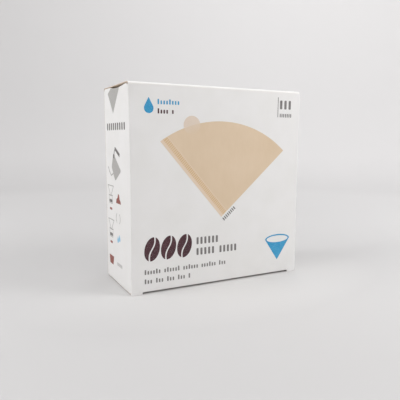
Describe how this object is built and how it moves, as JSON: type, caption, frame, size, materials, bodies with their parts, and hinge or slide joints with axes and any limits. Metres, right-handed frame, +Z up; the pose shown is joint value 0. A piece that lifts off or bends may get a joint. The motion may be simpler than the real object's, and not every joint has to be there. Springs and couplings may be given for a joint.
{
  "type": "tuck-end filter carton",
  "caption": "Closed white folding carton with a hinged tuck lid and bottom flap, holding a stack of folded cone coffee filters.",
  "frame": {"origin": "centre of the carton's bottom face, where it stands", "axes": "+Z up to the lid, -Y out of the printed front panel, +X to the right seen from the front"},
  "size_m": [0.1201, 0.0481, 0.1225],
  "materials": {
    "board": "satin coated white paperboard",
    "filter_paper": "matte unbleached filter paper",
    "ink_tan": "satin printed tan",
    "ink_seam": "satin printed brown tan",
    "ink_tab": "satin printed light tan",
    "ink_maroon": "satin printed maroon",
    "ink_blue": "satin printed blue",
    "ink_grey": "satin printed grey",
    "ink_black": "satin printed black brown"
  },
  "bodies": {
    "carton": {"carton_body": "board", "filter_stack": "filter_paper", "print_tan": "ink_tan", "print_seam": "ink_seam", "print_tab": "ink_tab", "print_maroon": "ink_maroon", "print_blue": "ink_blue", "print_grey": "ink_grey", "print_black": "ink_black"},
    "lid": {"lid": "board"},
    "bottom_flap": {"bottom_flap": "board"}
  },
  "joints": [
    {"name": "lid_hinge", "type": "hinge", "parent": "carton", "child": "lid", "pos_m": [0, 0.02355, 0.12205], "axis": [-1, 0, 0], "range_deg": [0, 180]},
    {"name": "bottom_hinge", "type": "hinge", "parent": "carton", "child": "bottom_flap", "pos_m": [0, 0.02355, 0.00045], "axis": [1, 0, 0], "range_deg": [0, 180]}
  ]
}
